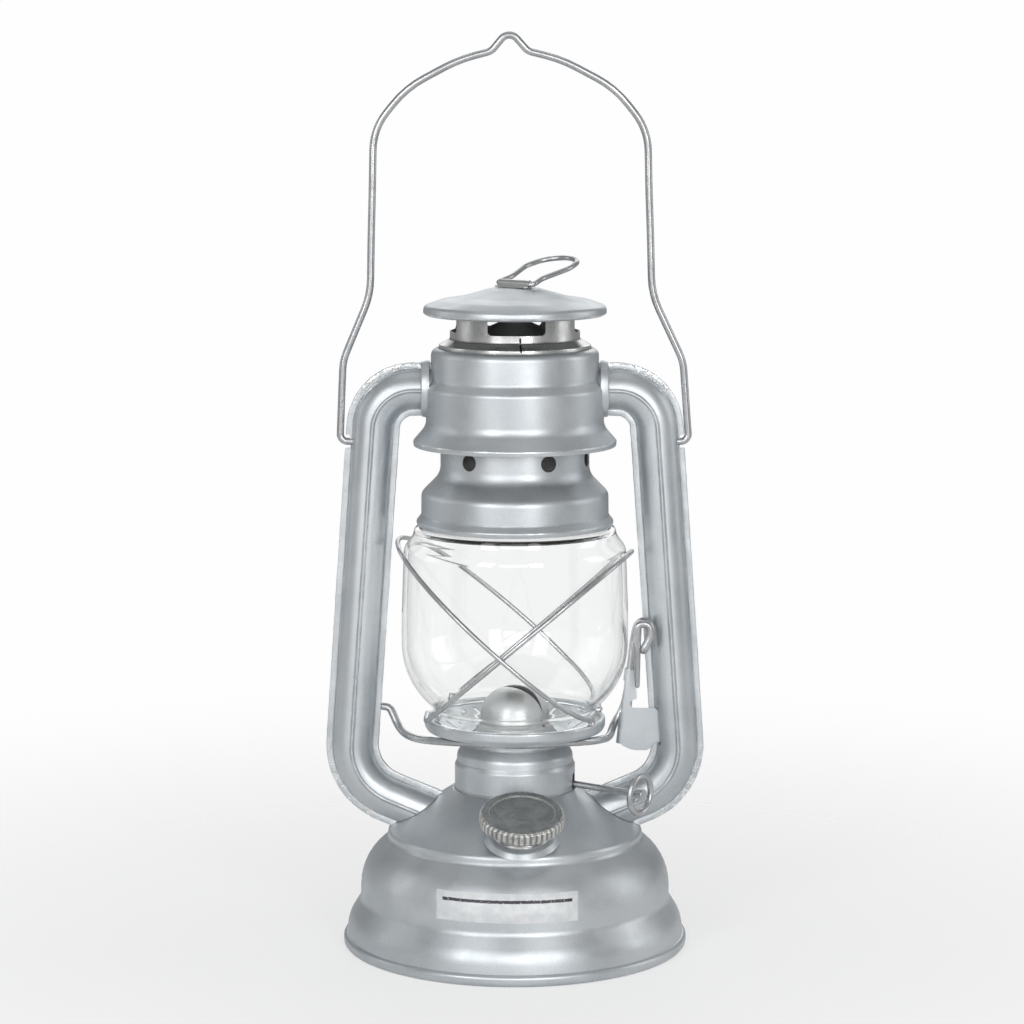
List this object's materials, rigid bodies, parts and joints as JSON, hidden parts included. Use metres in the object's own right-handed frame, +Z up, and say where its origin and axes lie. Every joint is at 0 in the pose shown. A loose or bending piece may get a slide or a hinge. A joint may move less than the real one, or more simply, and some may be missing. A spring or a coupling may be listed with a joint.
{
  "type": "oil lantern",
  "caption": "Tubular hurricane oil lantern: round tin tank, two side air tubes, lifting glass globe with wire guard, sprung chimney and wire bail.",
  "frame": {"origin": "centre of the base ring's underside", "axes": "+Z up, +X to the lantern's right through the side tubes, -Y the front with the filler cap"},
  "size_m": [0.1374, 0.1254, 0.3308],
  "materials": {
    "silver_paint": "satin silver paint with a fine metallic grain",
    "tinplate": "bright tinplate",
    "galvanised_wire": "galvanised wire, satin",
    "die_cast_zinc": "raw zinc casting, dull with worn flutes",
    "plated_neck": "plated steel",
    "spring_steel": "plain spring steel",
    "brass": "dull brass",
    "clear_glass": "clear pressed glass, faint waves",
    "label_foil": "plain foil label with a level line",
    "cotton_wick": "woven cotton",
    "seal_rubber": "black rubber"
  },
  "bodies": {
    "root": {"tank_shell": "silver_paint", "tank_bottom": "silver_paint", "filler_neck": "plated_neck", "fill_line_label": "label_foil", "air_duct": "silver_paint", "burner_collar": "tinplate", "burner_chamber": "silver_paint", "burner_base": "tinplate", "wick_tube": "brass", "spindle_bush": "brass", "burner_cone": "silver_paint", "left_tube_front": "silver_paint", "left_tube_back": "silver_paint", "right_tube_front": "silver_paint", "right_tube_back": "silver_paint", "hood": "silver_paint", "hood_socket_left": "silver_paint", "hood_socket_right": "silver_paint", "hood_guide_ring": "silver_paint", "chimney_spring": "spring_steel"},
    "bail": {"bail_handle": "galvanised_wire"},
    "cradle": {"globe_plate": "silver_paint", "lift_wire": "galvanised_wire", "guard_wire_left": "galvanised_wire", "guard_wire_right": "galvanised_wire", "globe": "clear_glass"},
    "latch": {"latch_plate": "silver_paint"},
    "chimney": {"chimney_bell": "silver_paint", "spring_seat": "silver_paint", "crown": "tinplate", "heat_baffle": "tinplate", "chimney_cap": "silver_paint", "ring_strap": "tinplate"},
    "ring": {"pull_ring": "galvanised_wire"},
    "spindle": {"wick_spindle": "galvanised_wire", "wick_sprockets": "spring_steel"},
    "wick": {"wick": "cotton_wick"},
    "cap_seal": {"cap_gasket": "seal_rubber"},
    "cap": {"filler_cap": "die_cast_zinc"}
  },
  "joints": [
    {"name": "bail_swing", "type": "hinge", "parent": "root", "child": "bail", "pos_m": [0, 0, 0.1845], "axis": [1, 0, 0], "range_deg": [-150, 150]},
    {"name": "globe_lift", "type": "slide", "parent": "root", "child": "cradle", "axis": [0, 0, 1], "range_m": [0, 0.01]},
    {"name": "latch_swing", "type": "hinge", "parent": "cradle", "child": "latch", "pos_m": [0.04068, 0, 0.09], "axis": [-0.1092, 0, -0.994], "range_deg": [0, 60]},
    {"name": "chimney_lift", "type": "slide", "parent": "cradle", "child": "chimney", "axis": [0, 0, 1], "range_m": [0, 0.01], "stiffness_N_per_m": 120, "springref_m": -0.015, "deforming": ["chimney_spring"]},
    {"name": "pull_ring_fold", "type": "hinge", "parent": "chimney", "child": "ring", "pos_m": [0, 0, 0.2412], "axis": [0.766, -0.6428, 0], "range_deg": [-12, 150]},
    {"name": "wick_turn", "type": "hinge", "parent": "root", "child": "spindle", "pos_m": [0.005, 0.00688, 0.0597], "axis": [0.809, -0.5878, 0], "range_deg": [-45, 60]},
    {"name": "wick_feed", "type": "slide", "parent": "root", "child": "wick", "axis": [0, 0, 1], "range_m": [-0.008, 0.006]},
    {"name": "cap_rise", "type": "slide", "parent": "root", "child": "cap_seal", "axis": [0.0194, -0.3167, 0.9483], "range_m": [0, 0.0031]},
    {"name": "cap_turn", "type": "hinge", "parent": "cap_seal", "child": "cap", "pos_m": [0.0023, -0.0375, 0.04804], "axis": [0.0194, -0.3167, 0.9483], "range_deg": [0, 540]}
  ],
  "couplings": [
    {"joint": "latch_swing", "follows": "globe_lift", "rad_per_m": 104.7},
    {"joint": "wick_feed", "follows": "wick_turn", "m_per_rad": -0.0074},
    {"joint": "cap_rise", "follows": "cap_turn", "m_per_rad": 0.0003183}
  ]
}
